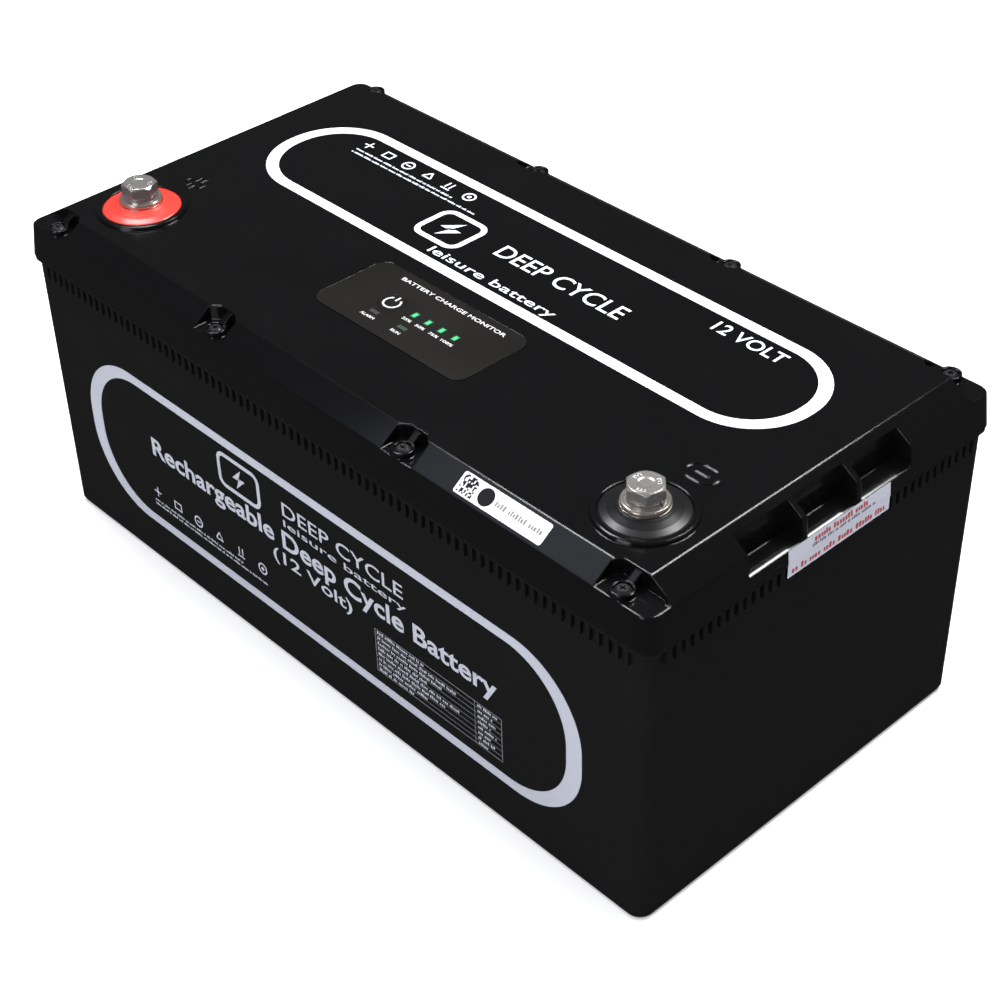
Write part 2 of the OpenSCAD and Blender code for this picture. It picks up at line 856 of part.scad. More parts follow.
// bolts that hold the lugs up against the inserts
module lug_bolts() {
  color([0.7, 0.7, 0.72])
    for (s = [-1, 1]) {
      at_terminal(s) {
        translate([0, 0, 184]) cylinder(r = 7.5, h = 4, $fn = 6);
        translate([0, 0, 187.9]) cylinder(r = 4, h = 10, $fn = 48);
      }
    }
  color([0.7, 0.7, 0.72])
    for (y = [-72, 66]) {
      translate([87.5, y, 145])
        rotate([0, 90, 0])
          difference() {
            cylinder(r = 7.5, h = 5.5, $fn = 6);
            translate([0, 0, -1]) cylinder(r = 3.95, h = 9, $fn = 32);
          }
    }
}

// flat bundle of thin sense wires along the cell posts
module sense_harness() {
  color([0.85, 0.85, 0.85]) {
    for (k = [0 : 4]) {
      run_x(post_x(0), 97, 118, 88 + 3 * k, 1.2);
    }
    run_z(87, 101, 97, 118, 3);
    run_y(40, 118, 97, 94, 3);
    run_z(38, 94, 97, 40, 3);
    run_x(90.2, 98, 40, 41, 3);
  }
}

// flat cable from the display down to the management board
module display_ribbon() {
  color([0.75, 0.75, 0.78]) {
    box_at(38, 46, -35, -34, 184, 208.4);
    box_at(38, 100, -35, -27, 183, 184);
    box_at(99, 100, -35, -27, 150, 184);
    box_at(79.7, 100, -35, -27, 150, 151);
  }
}

module base_foam_pad() {
  color([0.2, 0.2, 0.2]) box_at(-243, 60, -106, 98, wall_t, cell_z0 - 1);
}

// foam strips that hold the cells down under the lid
module top_foam_strips() {
  color([0.2, 0.2, 0.2])
    union() {
      box_at(-195, -150, -24, 40, cell_z0 + cell_h + 0.05, case_h - 3.6);
      box_at(-20, 40, 5, 40, cell_z0 + cell_h + 0.05, case_h - 3.6);
    }
}

// ---------- output ----------

container();
lid();
lid_gasket();
lid_screws();
positive_terminal_disc();
negative_terminal_disc();
positive_terminal_insert();
negative_terminal_insert();
positive_flat_washer();
positive_spring_washer();
positive_terminal_bolt();
negative_flat_washer();
negative_spring_washer();
negative_terminal_bolt();
display_overlay();
display_board();
charge_level_lights();
alarm_light();
run_light();
power_button();
power_switch();
top_print();
front_print();
code_label();
seal_sticker();
cell_1();
cell_2();
cell_3();
cell_4();
cell_spacers();
left_end_plate();
right_end_plate();
pack_straps();
cell_busbars();
busbar_nuts();
battery_management_board();
board_heat_sink();
positive_cable();
negative_cell_cable();
negative_output_cable();
cable_lugs();
lug_bolts();
sense_harness();
temperature_sensor();
wireless_module();
display_ribbon();
base_foam_pad();
top_foam_strips();
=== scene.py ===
import json
import math
import bpy
import bmesh
from mathutils import Vector, Matrix

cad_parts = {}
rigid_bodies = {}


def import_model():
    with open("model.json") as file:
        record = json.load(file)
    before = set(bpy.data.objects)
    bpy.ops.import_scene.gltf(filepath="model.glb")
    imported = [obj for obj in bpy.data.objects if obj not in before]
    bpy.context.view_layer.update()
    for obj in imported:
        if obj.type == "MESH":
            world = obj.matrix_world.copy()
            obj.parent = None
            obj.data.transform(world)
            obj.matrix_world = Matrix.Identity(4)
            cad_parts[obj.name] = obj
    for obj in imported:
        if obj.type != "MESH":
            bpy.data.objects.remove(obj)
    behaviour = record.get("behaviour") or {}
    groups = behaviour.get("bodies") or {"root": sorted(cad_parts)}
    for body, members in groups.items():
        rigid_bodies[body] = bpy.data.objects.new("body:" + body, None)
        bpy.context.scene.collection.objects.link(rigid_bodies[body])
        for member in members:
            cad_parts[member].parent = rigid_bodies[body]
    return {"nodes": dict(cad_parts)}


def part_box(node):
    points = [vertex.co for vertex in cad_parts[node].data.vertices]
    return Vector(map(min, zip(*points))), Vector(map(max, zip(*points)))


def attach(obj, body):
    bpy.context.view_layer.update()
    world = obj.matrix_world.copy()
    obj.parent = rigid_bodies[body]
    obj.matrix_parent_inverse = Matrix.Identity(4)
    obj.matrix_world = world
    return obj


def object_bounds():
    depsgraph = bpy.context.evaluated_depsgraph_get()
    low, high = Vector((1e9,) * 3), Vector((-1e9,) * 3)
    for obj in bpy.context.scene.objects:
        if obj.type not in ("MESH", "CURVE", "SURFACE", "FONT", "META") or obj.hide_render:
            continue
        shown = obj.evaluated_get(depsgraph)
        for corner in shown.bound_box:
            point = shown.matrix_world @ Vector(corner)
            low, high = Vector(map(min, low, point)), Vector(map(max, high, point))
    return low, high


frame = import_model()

lo0, hi0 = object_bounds()
NODES = frame["nodes"]
LINKED = bpy.context.scene.collection.objects
MM = 0.001


def box_mm(node):
    """A CAD node's lowest corner, highest corner and centre, in mm."""
    low, high = (Vector(corner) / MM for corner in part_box(node))
    return low, high, (low + high) / 2


# ---------------------------------------------------------------- materials

# the broad noise drifts over some 45 mm, and the fine one is each material's grain
BROAD_SCALE = 22.0
BROAD_DETAIL = 4.0
FINE_DETAIL = 3.0
# the part of the noise's range that drives the roughness
NOISE_LOW = 0.3
NOISE_HIGH = 0.7
LEAST_ROUGHNESS = 0.02
COAT_ROUGHNESS = 0.12
EDGE_SAMPLES = 6


def noise(tree, place, scale, detail):
    """A noise texture that reads the given coordinates."""
    node = tree.nodes.new("ShaderNodeTexNoise")
    node.inputs["Scale"].default_value = scale
    node.inputs["Detail"].default_value = detail
    tree.links.new(place, node.inputs["Vector"])
    return node.outputs["Fac"]


def material(name, colour, rough, metal=0.0, spec=0.5, coat=0.0, grain=900.0, bump=0.1, depth=0.0002,
             rough_swing=0.08, tint_swing=0.12, edge=0.0, glow=None, glow_power=0.0, brushed=None):
    """A finish whose tint and roughness drift slowly over the surface, with a fine bump as its grain.

    edge is the radius in metres by which sharp edges are shaded round, and brushed stretches the grain.
    """
    finish = bpy.data.materials.new(name)
    finish.use_nodes = True
    tree = finish.node_tree
    nodes, link = tree.nodes, tree.links.new
    shader = nodes["Principled BSDF"]
    shader.inputs["Metallic"].default_value = metal
    shader.inputs["Specular IOR Level"].default_value = spec
    shader.inputs["Coat Weight"].default_value = coat
    shader.inputs["Coat Roughness"].default_value = COAT_ROUGHNESS
    place = nodes.new("ShaderNodeTexCoord").outputs["Object"]
    grain_place = place
    if brushed:
        stretch = nodes.new("ShaderNodeMapping")
        stretch.inputs["Scale"].default_value = brushed
        link(place, stretch.inputs["Vector"])
        grain_place = stretch.outputs["Vector"]
    broad = noise(tree, place, BROAD_SCALE, BROAD_DETAIL)
    fine = noise(tree, grain_place, grain, FINE_DETAIL)
    tint = nodes.new("ShaderNodeMix")
    tint.data_type = "RGBA"
    tint.inputs["A"].default_value = [c * (1 - tint_swing) for c in colour] + [1]
    tint.inputs["B"].default_value = [min(1, c * (1 + tint_swing)) for c in colour] + [1]
    link(broad, tint.inputs["Factor"])
    link(tint.outputs["Result"], shader.inputs["Base Color"])
    spread = nodes.new("ShaderNodeMapRange")
    spread.inputs["From Min"].default_value = NOISE_LOW
    spread.inputs["From Max"].default_value = NOISE_HIGH
    spread.inputs["To Min"].default_value = max(LEAST_ROUGHNESS, rough - rough_swing)
    spread.inputs["To Max"].default_value = min(1.0, rough + rough_swing)
    link(broad, spread.inputs["Value"])
    link(spread.outputs["Result"], shader.inputs["Roughness"])
    relief = nodes.new("ShaderNodeBump")
    relief.inputs["Strength"].default_value = bump
    relief.inputs["Distance"].default_value = depth
    link(fine, relief.inputs["Height"])
    link(relief.outputs["Normal"], shader.inputs["Normal"])
    if edge:
        rounding = nodes.new("ShaderNodeBevel")
        rounding.samples = EDGE_SAMPLES
        rounding.inputs["Radius"].default_value = edge
        link(rounding.outputs["Normal"], relief.inputs["Normal"])
    if glow:
        shader.inputs["Emission Color"].default_value = list(glow) + [1]
        shader.inputs["Emission Strength"].default_value = glow_power
    return finish


M = {}

# mouldings and the things screwed into them
M["case"] = material("case moulding", (0.0068, 0.0068, 0.0073), 0.42, spec=0.30, grain=2600, bump=0.30,
                     depth=0.00012, edge=0.0007)
M["lid"] = material("lid moulding", (0.0032, 0.0033, 0.0035), 0.13, spec=0.46, grain=1500, bump=0.03,
                    depth=0.0001, rough_swing=0.02, edge=0.0014)
M["rubber"] = material("gasket rubber", (0.03, 0.03, 0.03), 0.8, grain=3000, bump=0.3)
M["blackzinc"] = material("black zinc screw", (0.012, 0.012, 0.013), 0.35, metal=0.2, grain=3000, bump=0.15,
                          edge=0.0003)

# terminals
M["red"] = material("red terminal disc", (0.72, 0.052, 0.038), 0.30, spec=0.35, coat=0.1, grain=1600,
                    bump=0.03, rough_swing=0.04, tint_swing=0.06, edge=0.0006)
M["blackdisc"] = material("black terminal disc", (0.009, 0.009, 0.0095), 0.30, spec=0.28, grain=1600,
                          bump=0.03, rough_swing=0.04, edge=0.0006)
M["brass"] = material("tin plated insert", (0.62, 0.57, 0.47), 0.3, metal=1.0, grain=2500, edge=0.0003)
M["steel"] = material("stainless bolt", (0.46, 0.445, 0.43), 0.23, metal=0.78, grain=2600, bump=0.18,
                      depth=0.0001, rough_swing=0.04, tint_swing=0.16, edge=0.0005)
# the head marks are a lighter copy of the bolt steel: a painted highlight on the raised letters
M["bright"] = material("head marks painted highlight", (0.86, 0.84, 0.81), 0.45, metal=0.8, grain=2600)
# the washers' warm pinkish tint is a painted warm reflection on the stainless steel
M["washer"] = material("stainless washer painted warm reflection", (0.62, 0.56, 0.52), 0.18, metal=0.85, grain=1200, depth=0.0001,
                       edge=0.0007, brushed=(1.0, 8.0, 1.0))

# display
M["panel"] = material("display film", (0.0080, 0.0073, 0.0066), 0.30, spec=0.25, rough_swing=0.03,
                      grain=3800, bump=0.25, depth=0.00006, edge=0.0002)
M["led"] = material("lit green lens", (0.018, 0.075, 0.035), 0.35, spec=0.25, grain=2500,
                    glow=(0.05, 0.30, 0.12), glow_power=0.16)
M["ledglow"] = material("green lens core", (0.05, 0.45, 0.16), 0.35, spec=0.25, grain=2500,
                        glow=(0.06, 0.62, 0.20), glow_power=0.55)
M["alarm"] = material("alarm lens", (0.042, 0.042, 0.042), 0.4, spec=0.25, grain=2500)
M["run"] = material("run lens", (0.030, 0.055, 0.034), 0.4, spec=0.25, grain=2500,
                    glow=(0.1, 0.35, 0.16), glow_power=0.03)
M["switch"] = material("switch body", (0.02, 0.02, 0.02), 0.5)
M["board"] = material("circuit board", (0.02, 0.12, 0.05), 0.35, grain=700, bump=0.3, tint_swing=0.4)

# inks and labels
M["white"] = material("white ink", (0.80, 0.83, 0.93), 0.5, spec=0.3, grain=3500, bump=0.08, tint_swing=0.02)
M["lavender"] = material("pale ink", (0.43, 0.44, 0.51), 0.55, spec=0.3, grain=3500, tint_swing=0.03)
M["dimink"] = material("grey ink", (0.17, 0.175, 0.20), 0.55, spec=0.3, grain=3500, tint_swing=0.05)
M["panelink"] = material("panel ink", (0.66, 0.66, 0.66), 0.5, spec=0.3, grain=3500, tint_swing=0.05)
M["label"] = material("coated label", (0.80, 0.80, 0.83), 0.45, grain=2800, tint_swing=0.02)
M["labelink"] = material("label ink", (0.012, 0.012, 0.014), 0.6, spec=0.1, grain=3000, bump=0.05)
M["labelgrey"] = material("label grey ink", (0.22, 0.22, 0.24), 0.5, grain=3000, bump=0.05)
M["seal"] = material("seal film", (0.50, 0.51, 0.60), 0.4, grain=1800, bump=0.15, tint_swing=0.05)
M["sealred"] = material("seal red ink", (0.42, 0.035, 0.035), 0.45, grain=3000, bump=0.08)
M["sealdark"] = material("seal dark ink", (0.10, 0.09, 0.11), 0.45, grain=3000, bump=0.08)

# inside the case
M["cell"] = material("blue cell film", (0.05, 0.12, 0.34), 0.3, coat=0.3, grain=600, bump=0.2)
M["sheet"] = material("fibre sheet", (0.6, 0.54, 0.34), 0.6, grain=1500, bump=0.3)
M["alu"] = material("mill aluminium", (0.62, 0.63, 0.65), 0.35, metal=1.0, bump=0.2,
                    brushed=(1.0, 12.0, 12.0))
M["strap"] = material("strap steel", (0.45, 0.46, 0.48), 0.35, metal=1.0, bump=0.2)
M["copper"] = material("copper bar", (0.72, 0.36, 0.20), 0.25, metal=1.0, grain=1200, bump=0.2)
M["cablered"] = material("red cable", (0.50, 0.03, 0.02), 0.4, grain=1500, bump=0.2)
M["cableblack"] = material("black cable", (0.015, 0.015, 0.016), 0.4, grain=1500, bump=0.2)
M["wire"] = material("pale wires", (0.6, 0.6, 0.61), 0.45, grain=1500, bump=0.2)
M["module"] = material("radio module", (0.03, 0.08, 0.22), 0.35, grain=700, bump=0.3, tint_swing=0.3)
M["foam"] = material("grey foam", (0.06, 0.06, 0.06), 0.95, grain=1800, bump=0.9, depth=0.0006)

NODES_OF = {
    "case": ["container"],
    "lid": ["lid"],
    "rubber": ["lid_gasket"],
    "blackzinc": ["lid_screws"],
    "red": ["positive_terminal_disc"],
    "blackdisc": ["negative_terminal_disc"],
    "brass": ["positive_terminal_insert", "negative_terminal_insert"],
    "washer": ["positive_flat_washer", "negative_flat_washer"],
    "steel": ["positive_spring_washer", "positive_terminal_bolt", "negative_spring_washer",
              "negative_terminal_bolt", "busbar_nuts", "lug_bolts"],
    "panel": ["display_overlay", "power_button"],
    "board": ["display_board", "battery_management_board"],
    "led": ["charge_level_lights"],
    "alarm": ["alarm_light"],
    "run": ["run_light"],
    "switch": ["power_switch", "temperature_sensor"],
    "white": ["top_print"],
    "lavender": ["front_print"],
    "label": ["code_label"],
    "seal": ["seal_sticker"],
    "cell": ["cell_1", "cell_2", "cell_3", "cell_4"],
    "sheet": ["cell_spacers"],
    "alu": ["left_end_plate", "right_end_plate", "board_heat_sink"],
    "strap": ["pack_straps"],
    "copper": ["cell_busbars", "cable_lugs"],
    "cablered": ["positive_cable"],
    "cableblack": ["negative_cell_cable", "negative_output_cable"],
    "wire": ["sense_harness", "display_ribbon"],
    "module": ["wireless_module"],
    "foam": ["base_foam_pad", "top_foam_strips"],
}
for finish, names in NODES_OF.items():
    for name in names:
        NODES[name].data.materials.clear()
        NODES[name].data.materials.append(M[finish])

# ---------------------------------------------------------------- planes that the prints lie on

# sizes and places are in mm from here to the studio

# how far each print's base stands off the surface or the piece's middle below it
FRONT_LIFT = 0.02
SEAL_LIFT = 0.01
LABEL_LIFT = 0.065
# the container wall: how far it stands in from the lip at the top and the foot of its slope
WALL_INSET_TOP = 2.4
WALL_INSET_FOOT = 4.0
WALL_TOP_Z = 186.8
WALL_FOOT_Z = 3.5
# the way up the lid's front bevel
BEVEL_SLOPE = (0, 13, 9)
# the seal's fold over the lid lip, the middle of its lower half, and the lean of the skirt above
SEAL_FOLD_X = 261.19
SEAL_FOLD_Z = 189.65
SEAL_LOW_X = 260.96
SEAL_LOW_Z = 184.0
SKIRT_RUN = 1.9
SKIRT_RISE = 20.3
ALONG = (1, 0, 0)
ACROSS = (0, 1, 0)


def plane(origin, across, upward, lift=0.0):
    """A 4x4 whose x and y run across a surface of the battery and whose z leaves it, all in mm."""
    u = Vector(across).normalized()
    v = Vector(upward).normalized()
    n = u.cross(v).normalized()
    o = Vector(origin) + n * lift
    return Matrix([[u.x, v.x, n.x, o.x], [u.y, v.y, n.y, o.y], [u.z, v.z, n.z, o.z], [0, 0, 0, 1]])


def front_plane():
    """The labelled wall, which leans out towards its top; its y is the distance up the wall."""
    lean = math.atan2(WALL_INSET_FOOT - WALL_INSET_TOP, WALL_TOP_Z - WALL_FOOT_Z)
    top_y = lo0[1] / MM + WALL_INSET_TOP
    foot = (0, top_y + WALL_TOP_Z * math.tan(lean), 0)
    return plane(foot, ALONG, (0, -math.sin(lean), math.cos(lean)), FRONT_LIFT)


def seal_planes():
    """The seal above its fold, on the leaning lid skirt, and below it, on the upright edge."""
    mid_y = box_mm("seal_sticker")[2].y
    lean = math.atan2(SKIRT_RUN, SKIRT_RISE)
    upper = plane((SEAL_FOLD_X, mid_y, SEAL_FOLD_Z), ACROSS, (-math.sin(lean), 0, math.cos(lean)), SEAL_LIFT)
    lower = plane((SEAL_LOW_X, mid_y, SEAL_LOW_Z), ACROSS, (0, 0, 1), SEAL_LIFT)
    return upper, lower


LID = plane((0, 0, box_mm("top_print")[0].z), ALONG, ACROSS)
PANEL = plane((0, 0, box_mm("display_overlay")[1].z), ALONG, ACROSS)
FRONT = front_plane()
BEVEL = plane(box_mm("code_label")[2], ALONG, BEVEL_SLOPE, LABEL_LIFT)
SEAL_UP, SEAL_LOW = seal_planes()

# ---------------------------------------------------------------- print making

PRINT_THICK = 0.05
TINY = 1e-4
CORNER_STEPS = 4
TYPE_SIZE = 10
TYPE_RESOLUTION = 4
# the fixed row of pseudo-random numbers
DRAW_FACTOR = 1103515245
DRAW_STEP = 12345
DRAW_RANGE = 2147483648
# stand-in wording, as shares of its height: bar widths, the space after a bar, a low bar and a word space
BAR_LEAST = 0.42
BAR_SPREAD = 0.22
BAR_SPACE = 0.12
BAR_LOW = 0.72
WORD_SPACE = 0.54


def next_draw(draw):
    """The next number of a fixed pseudo-random row."""
    return (draw * DRAW_FACTOR + DRAW_STEP) % DRAW_RANGE


def add_piece(name, mesh, finish, body):
    """Shows a mesh as a piece that rides on a body."""
    mesh.materials.clear()
    mesh.materials.append(finish)
    piece = bpy.data.objects.new(name, mesh)
    LINKED.link(piece)
    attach(piece, body)


class Print:
    """Flat marks gathered on one plane, then made into one thin raised mesh."""

    def __init__(self, name, base, finish, body="case", thick=PRINT_THICK, slot="print_white"):
        self.name = name
        self.base = base
        self.finish = finish
        self.body = body
        self.thick = thick
        self.slot = slot
        self.marks = bmesh.new()

    def poly(self, points):
        self.marks.faces.new([self.marks.verts.new((x, y, 0)) for x, y in points])

    def rect(self, x0, y0, x1, y1, r=0.0):
        r = min(r, abs(x1 - x0) / 2 - TINY, abs(y1 - y0) / 2 - TINY)
        if r <= 0:
            self.poly([(x0, y0), (x1, y0), (x1, y1), (x0, y1)])
            return
        corners = ((x1 - r, y0 + r, -90), (x1 - r, y1 - r, 0), (x0 + r, y1 - r, 90), (x0 + r, y0 + r, 180))
        points = []
        for cx, cy, start in corners:
            for k in range(CORNER_STEPS + 1):
                a = math.radians(start + 90 / CORNER_STEPS * k)
                points.append((cx + r * math.cos(a), cy + r * math.sin(a)))
        self.poly(points)

    def disc(self, cx, cy, r, sides):
        turns = [2 * math.pi * k / sides for k in range(sides)]
        self.poly([(cx + r * math.cos(a), cy + r * math.sin(a)) for a in turns])

    def arc(self, cx, cy, r_in, r_out, start=0.0, end=360.0, steps=24):
        full = end - start == 360
        inner, outer = [], []
        for k in range(steps if full else steps + 1):
            a = math.radians(start + (end - start) * k / steps)
            inner.append(self.marks.verts.new((cx + r_in * math.cos(a), cy + r_in * math.sin(a), 0)))
            outer.append(self.marks.verts.new((cx + r_out * math.cos(a), cy + r_out * math.sin(a), 0)))
        for k in range(steps):
            j = (k + 1) % len(inner)
            self.marks.faces.new([outer[k], outer[j], inner[j], inner[k]])

    def line(self, x0, y0, x1, y1, w):
        long = math.hypot(x1 - x0, y1 - y0)
        nx, ny = -(y1 - y0) / long * w / 2, (x1 - x0) / long * w / 2
        self.poly([(x0 - nx, y0 - ny), (x1 - nx, y1 - ny), (x1 + nx, y1 + ny), (x0 + nx, y0 + ny)])

    def frame(self, x0, y0, x1, y1, w):
        self.rect(x0, y0, x1, y0 + w)
        self.rect(x0, y1 - w, x1, y1)
        self.rect(x0, y0 + w, x0 + w, y1 - w)
        self.rect(x1 - w, y0 + w, x1, y1 - w)

    def words(self, x0, x1, y, h, draw, stroke=0.62):
        """A line of stand-in wording: short bars in word groups, no letters."""
        x = x0
        while x < x1 - h / 2:
            draw = next_draw(draw)
            for _ in range(2 + (draw >> 8) % 6):
                draw = next_draw(draw)
                w = h * (BAR_LEAST + BAR_SPREAD * ((draw >> 10) % 3) / 2)
                tall = h if (draw >> 14) % 3 == 0 else h * BAR_LOW
                if x + w > x1:
                    break
                self.rect(x, y, x + w * stroke + h * BAR_SPACE, y + tall, h * BAR_SPACE)
                x += w + h * BAR_SPACE
            x += h * WORD_SPACE

    def make(self):
        bmesh.ops.recalc_face_normals(self.marks, faces=self.marks.faces)
        for face in self.marks.faces:
            if face.normal.z < 0:
                face.normal_flip()
        raised = bmesh.ops.extrude_face_region(self.marks, geom=list(self.marks.faces))
        moved = [part for part in raised["geom"] if isinstance(part, bmesh.types.BMVert)]
        bmesh.ops.translate(self.marks, vec=(0, 0, self.thick), verts=moved)
        for vert in self.marks.verts:
            vert.co = (self.base @ vert.co) * MM
        mesh = bpy.data.meshes.new(self.name)
        self.marks.to_mesh(mesh)
        self.marks.free()
        add_piece(self.name, mesh, self.finish, self.body)


def lettering(name, words, base, fit, finish, weight):
    """Plain generic words fitted to a box (left, right, bottom, top) on a plane."""
    left, right, bottom, top = fit
    curve = bpy.data.curves.new(name, "FONT")
    curve.body = words
    curve.size = TYPE_SIZE
    curve.offset = weight
    curve.extrude = PRINT_THICK / 2
    curve.resolution_u = TYPE_RESOLUTION
    outline = bpy.data.objects.new(name + "_outline", curve)
    LINKED.link(outline)
    bpy.context.view_layer.update()
    mesh = bpy.data.meshes.new_from_object(outline.evaluated_get(bpy.context.evaluated_depsgraph_get()))
    bpy.data.objects.remove(outline)
    xs = [vert.co.x for vert in mesh.vertices]
    ys = [vert.co.y for vert in mesh.vertices]
    x_low, y_low = min(xs), min(ys)
    x_scale = (right - left) / (max(xs) - x_low)
    y_scale = (top - bottom) / (max(ys) - y_low)
    for vert in mesh.vertices:
        x = left + (vert.co.x - x_low) * x_scale
        y = bottom + (vert.co.y - y_low) * y_scale
        vert.co = (base @ Vector((x, y, vert.co.z + PRINT_THICK / 2))) * MM
    mesh.name = name
    add_piece(name, mesh, finish, "case")


# ---------------------------------------------------------------- small generic signs, each of radius r

# stroke width and inner ring radius, as shares of r
SIGN_STROKE = 0.24
RING_IN = 0.72


def sign_plus(sheet, x, y, r):
    half, arm = r * SIGN_STROKE / 2, r * 0.85
    sheet.rect(x - arm, y - half, x + arm, y + half)
    sheet.rect(x - half, y + half, x + half, y + arm)
    sheet.rect(x - half, y - arm, x + half, y - half)


def sign_box(sheet, x, y, r):
    wide, high = r * 0.9, r * 0.75
    sheet.frame(x - wide, y - high, x + wide, y + high, r * SIGN_STROKE)


def sign_ringed_bar(sheet, x, y, r):
    half, reach = r * SIGN_STROKE / 2, r * 0.45
    sheet.arc(x, y, r * RING_IN, r)
    sheet.rect(x - reach, y - half, x + reach, y + half)


def sign_triangle(sheet, x, y, r):
    reach = r * 0.9
    for corner in (90, 210, 330):
        a, b = math.radians(corner), math.radians(corner + 120)
        sheet.line(x + reach * math.cos(a), y + reach * math.sin(a),
                   x + reach * math.cos(b), y + reach * math.sin(b), r * SIGN_STROKE)


def sign_two_posts(sheet, x, y, r):
    stroke = r * SIGN_STROKE
    foot, reach = y - r * 0.85, r * 0.8
    sheet.rect(x - reach, foot, x + reach, foot + stroke)
    for post in (x - r * 0.4, x + r * 0.4):
        sheet.rect(post - stroke / 2, y - r * 0.4, post + stroke / 2, y + r * 0.9)


def sign_dotted_ring(sheet, x, y, r):
    sheet.arc(x, y, r * RING_IN, r)
    sheet.disc(x, y, r * 0.32, 16)


SIGNS = (sign_plus, sign_box, sign_ringed_bar, sign_triangle, sign_two_posts, sign_dotted_ring)


def row_of_signs(sheet, left, pitch, y, r):
    for k, sign in enumerate(SIGNS):
        sign(sheet, left + pitch * k, y, r)
    sheet.make()


def emblem(sheet, x, y, wide, high):
    """A plain spark in a rounded tile."""
    rim, corner = high * 0.11, high * 0.26
    side, top = wide / 2, high / 2
    sheet.rect(x - side + corner, y - top, x + side - corner, y - top + rim)
    sheet.rect(x - side + corner, y + top - rim, x + side - corner, y + top)
    sheet.rect(x - side, y - top + corner, x - side + rim, y + top - corner)
    sheet.rect(x + side - rim, y - top + corner, x + side, y + top - corner)
    for sx, sy, start in ((1, 1, 0), (-1, 1, 90), (-1, -1, 180), (1, -1, 270)):
        cx, cy = x + sx * (side - corner), y + sy * (top - corner)
        sheet.arc(cx, cy, corner - rim, corner, start, start + 90, steps=10)
    spark = high * 0.30
    waist = spark * 0.12
    for s in (1, -1):
        sheet.poly([(x + s * spark * 0.35, y + s * spark), (x - s * spark * 0.75, y - s * waist),
                    (x - s * spark * 0.05, y - s * waist)])
    sheet.poly([(x - spark * 0.30, y - waist), (x + spark * 0.05, y - waist), (x + spark * 0.30, y + waist),
                (x - spark * 0.05, y + waist)])
    sheet.make()


# ---------------------------------------------------------------- top label

def top_label():
    ink, slot = M["white"], "print_white"
    row_of_signs(Print("top_label_signs", LID, ink), left=-171, pitch=18.6, y=66, r=4.6)
    small = Print("top_label_small_print", LID, ink)
    small.words(-174, -84, y=57.2, h=1.7, draw=11)
    small.words(-174, -60, y=53.2, h=1.7, draw=29)
    small.make()
    emblem(Print("top_label_emblem", LID, ink), x=-57.7, y=32.3, wide=38, high=34)
    lettering("top_label_name", "DEEP CYCLE", LID, (-20, 80, 30.5, 43.5), ink, weight=0.05)
    lettering("top_label_lower_line", "leisure battery", LID, (-50, 53, 4, 13), ink, weight=0.05)
    lettering("top_label_voltage", "12 VOLT", LID, (122, 172, 60.5, 70.5), ink, weight=0.1)


top_label()

# ---------------------------------------------------------------- front label

FRONT_SLOT = "print_lavender"
TABLE_LEFT = 52
TABLE_RIGHT = 155
TABLE_FOOT = 46
TABLE_TOP = 77.5
TABLE_ROWS = 8
TABLE_SPLIT = 133.8
TABLE_RIM = 0.5
RULE_HALF = 0.16
SPLIT_HALF = 0.2
ROW_PITCH = (TABLE_TOP - TABLE_FOOT) / TABLE_ROWS
ENTRY_H = 2
ENTRY_LIFT = 1
NAME_LEFT = TABLE_LEFT + 2
VALUE_LEFT = TABLE_SPLIT + 2.2


def front_label():
    ink = M["lavender"]
    emblem(Print("front_label_emblem", FRONT, ink, slot=FRONT_SLOT), x=-65.3, y=117.5, wide=40, high=26)
    for name, words, fit, weight in (
            ("name", "DEEP CYCLE", (-25, 79, 114, 124), 0.05),
            ("lower_line", "leisure battery", (-25, 81, 104.5, 111), 0.05),
            ("wording", "Rechargeable Deep Cycle Battery", (-155, 152, 84.5, 102.5), 0.22),
            ("voltage", "(12 Volt)", (-38, 33, 73, 85), 0.12)):
        lettering("front_label_" + name, words, FRONT, fit, ink, weight)
    row_of_signs(Print("front_label_signs", FRONT, ink, slot=FRONT_SLOT), left=-156, pitch=21, y=59, r=4.2)
    small = Print("front_label_small_print", FRONT, ink, slot=FRONT_SLOT)
    small.words(-160, -70, y=51.0, h=1.7, draw=31)
    small.words(-160, -47, y=47.8, h=1.7, draw=37)
    small.make()


def front_table():
    """The table of stand-in entries at the right of the front label."""
    rules = Print("front_label_table_rules", FRONT, M["dimink"], slot=FRONT_SLOT)
    rules.frame(TABLE_LEFT, TABLE_FOOT, TABLE_RIGHT, TABLE_TOP, TABLE_RIM)
    for k in range(1, TABLE_ROWS):
        y = TABLE_FOOT + ROW_PITCH * k
        rules.rect(TABLE_LEFT + TABLE_RIM, y - RULE_HALF, TABLE_RIGHT - TABLE_RIM, y + RULE_HALF)
    rules.rect(TABLE_SPLIT - SPLIT_HALF, TABLE_FOOT + TABLE_RIM,
               TABLE_SPLIT + SPLIT_HALF, TABLE_TOP - TABLE_RIM)
    rules.make()
    entries = Print("front_label_table_entries", FRONT, M["lavender"], slot=FRONT_SLOT)
    for k in range(TABLE_ROWS):
        y = TABLE_FOOT + ROW_PITCH * k + ENTRY_LIFT
        name_w = 30 + k * 13 % 41
        value_w = 9 + k * 5 % 9
        entries.words(NAME_LEFT, NAME_LEFT + name_w, y, ENTRY_H, draw=41 + k)
        entries.words(VALUE_LEFT, VALUE_LEFT + value_w, y, ENTRY_H, draw=71 + k)
    entries.make()


front_label()
front_table()

# ---------------------------------------------------------------- display

PANEL_SLOT = "panel_film"
# the power sign: its centre on the key, and the stem that stands in the ring's gap
KEY_X = -21
KEY_Y = -45.5
STEM_HALF = 0.6
STEM_FOOT = KEY_Y + 2.3
STEM_TOP = KEY_Y + 6.6
# the four charge lenses and the bright core drawn on each
LEVELS = (25, 50, 75, 100)
LENS_W = 3.7
CORE_HALF_W = 1.15
CORE_HALF_H = 1.8
CORE_R = 0.3
